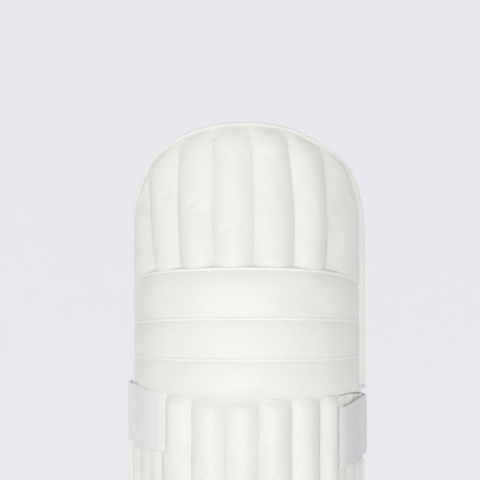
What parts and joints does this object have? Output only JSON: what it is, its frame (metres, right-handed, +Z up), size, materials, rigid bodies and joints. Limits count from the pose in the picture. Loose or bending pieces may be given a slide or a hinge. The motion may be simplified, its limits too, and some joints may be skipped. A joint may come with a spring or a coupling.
{
  "type": "cricket leg pad",
  "caption": "Padded leg guard with upright stuffed channels, a flexing knee roll, a rounded top flap, side wings and hook-and-loop straps.",
  "frame": {"origin": "under the middle of the pad's box, on the surface it stands on", "axes": "+Z up the leg, -Y out of the padded front, +X to the viewer's right as the front is seen"},
  "size_m": [0.2626, 0.177, 0.719],
  "materials": {
    "white_leather": "satin grained synthetic leather",
    "foam": "matte foam stuffing",
    "cane": "split cane",
    "canvas": "matte plain weave",
    "liner_cloth": "matte knitted lining",
    "binding_tape": "matte woven edge tape",
    "strap_web": "matte brushed strap",
    "hook_tape": "matte",
    "loop_tape": "matte looped pile"
  },
  "bodies": {
    "shin": {"shin_facing": "white_leather", "shin_channel_1": "foam", "shin_channel_2": "foam", "shin_channel_3": "foam", "shin_channel_4": "foam", "shin_channel_5": "foam", "shin_channel_6": "foam", "shin_canes": "cane", "shin_backing": "canvas", "shin_liner_left": "liner_cloth", "shin_liner_centre": "liner_cloth", "shin_liner_right": "liner_cloth", "ankle_flap_left_cover": "white_leather", "ankle_flap_left_foam": "foam", "ankle_flap_right_cover": "white_leather", "ankle_flap_right_foam": "foam", "bottom_binding": "binding_tape"},
    "left_wing": {"left_wing_cover": "white_leather", "left_wing_foam": "foam", "left_wing_binding": "binding_tape", "loop_patches": "loop_tape"},
    "right_wing": {"right_wing_cover": "white_leather", "right_wing_foam": "foam", "right_wing_binding": "binding_tape", "strap_anchors": "strap_web"},
    "knee_lower": {"knee_lower_cover": "white_leather", "knee_lower_core": "foam", "knee_lower_liner": "liner_cloth", "knee_lower_binding": "binding_tape"},
    "knee_middle": {"knee_middle_cover": "white_leather", "knee_middle_core": "foam", "knee_middle_liner": "liner_cloth", "knee_middle_binding": "binding_tape"},
    "knee_upper": {"knee_upper_cover": "white_leather", "knee_upper_core": "foam", "knee_upper_liner": "liner_cloth", "knee_upper_binding": "binding_tape"},
    "top_flap": {"top_flap_facing": "white_leather", "top_flap_channel_1": "foam", "top_flap_channel_2": "foam", "top_flap_channel_3": "foam", "top_flap_channel_4": "foam", "top_flap_channel_5": "foam", "top_flap_channel_6": "foam", "top_flap_channel_7": "foam", "top_flap_canes": "cane", "top_flap_backing": "canvas", "top_flap_liner": "liner_cloth", "top_flap_binding": "binding_tape"},
    "knee_strap": {"knee_strap_loop": "strap_web", "knee_strap_calf_pad": "liner_cloth"},
    "knee_strap_end": {"knee_strap_tip": "strap_web", "knee_strap_hook": "hook_tape"},
    "calf_strap": {"calf_strap_loop": "strap_web"},
    "calf_strap_end": {"calf_strap_tip": "strap_web", "calf_strap_hook": "hook_tape"},
    "ankle_strap": {"ankle_strap_loop": "strap_web"},
    "ankle_strap_end": {"ankle_strap_tip": "strap_web", "ankle_strap_hook": "hook_tape"}
  },
  "joints": [
    {"name": "knee_flex", "type": "hinge", "parent": "shin", "child": "knee_lower", "pos_m": [0, -0.07751, 0.432], "axis": [-1, 0, 0], "range_deg": [-4, 2], "stiffness_Nm_per_rad": 30},
    {"name": "knee_flex_middle", "type": "hinge", "parent": "knee_lower", "child": "knee_middle", "pos_m": [0, -0.07751, 0.473], "axis": [-1, 0, 0], "range_deg": [-4, 2], "stiffness_Nm_per_rad": 30},
    {"name": "knee_flex_upper", "type": "hinge", "parent": "knee_middle", "child": "knee_upper", "pos_m": [0, -0.07751, 0.516], "axis": [-1, 0, 0], "range_deg": [-4, 2], "stiffness_Nm_per_rad": 30},
    {"name": "top_flap_flex", "type": "hinge", "parent": "knee_upper", "child": "top_flap", "pos_m": [0, -0.07751, 0.568], "axis": [-1, 0, 0], "range_deg": [-4, 2], "stiffness_Nm_per_rad": 30},
    {"name": "left_wing_fold", "type": "hinge", "parent": "shin", "child": "left_wing", "pos_m": [-0.09001, -0.03525, 0.265], "axis": [0, 0, -1], "range_deg": [0, 5], "stiffness_Nm_per_rad": 4},
    {"name": "right_wing_fold", "type": "hinge", "parent": "shin", "child": "right_wing", "pos_m": [0.0933, -0.0311, 0.265], "axis": [0, 0, 1], "range_deg": [0, 5], "stiffness_Nm_per_rad": 4},
    {"name": "knee_strap_swing", "type": "hinge", "parent": "right_wing", "child": "knee_strap", "pos_m": [0.12946, 0.02162, 0.4089], "axis": [0, 0, -1], "range_deg": [0, 25]},
    {"name": "knee_strap_peel", "type": "hinge", "parent": "knee_strap", "child": "knee_strap_end", "pos_m": [-0.12946, 0.02162, 0.4089], "axis": [0, 0, -1], "range_deg": [0, 125]},
    {"name": "calf_strap_swing", "type": "hinge", "parent": "right_wing", "child": "calf_strap", "pos_m": [0.12946, 0.02162, 0.262], "axis": [0, 0, -1], "range_deg": [0, 25]},
    {"name": "calf_strap_peel", "type": "hinge", "parent": "calf_strap", "child": "calf_strap_end", "pos_m": [-0.12946, 0.02162, 0.262], "axis": [0, 0, -1], "range_deg": [0, 125]},
    {"name": "ankle_strap_swing", "type": "hinge", "parent": "right_wing", "child": "ankle_strap", "pos_m": [0.12946, 0.02162, 0.14], "axis": [0, 0, -1], "range_deg": [0, 25]},
    {"name": "ankle_strap_peel", "type": "hinge", "parent": "ankle_strap", "child": "ankle_strap_end", "pos_m": [-0.12946, 0.02162, 0.14], "axis": [0, 0, -1], "range_deg": [0, 125]}
  ],
  "couplings": [
    {"joint": "knee_flex_middle", "follows": "knee_flex", "ratio": 1},
    {"joint": "knee_flex_upper", "follows": "knee_flex", "ratio": 1},
    {"joint": "top_flap_flex", "follows": "knee_flex", "ratio": 1},
    {"joint": "knee_strap_peel", "follows": "knee_strap_swing", "ratio": 5},
    {"joint": "calf_strap_peel", "follows": "calf_strap_swing", "ratio": 5},
    {"joint": "ankle_strap_peel", "follows": "ankle_strap_swing", "ratio": 5}
  ]
}
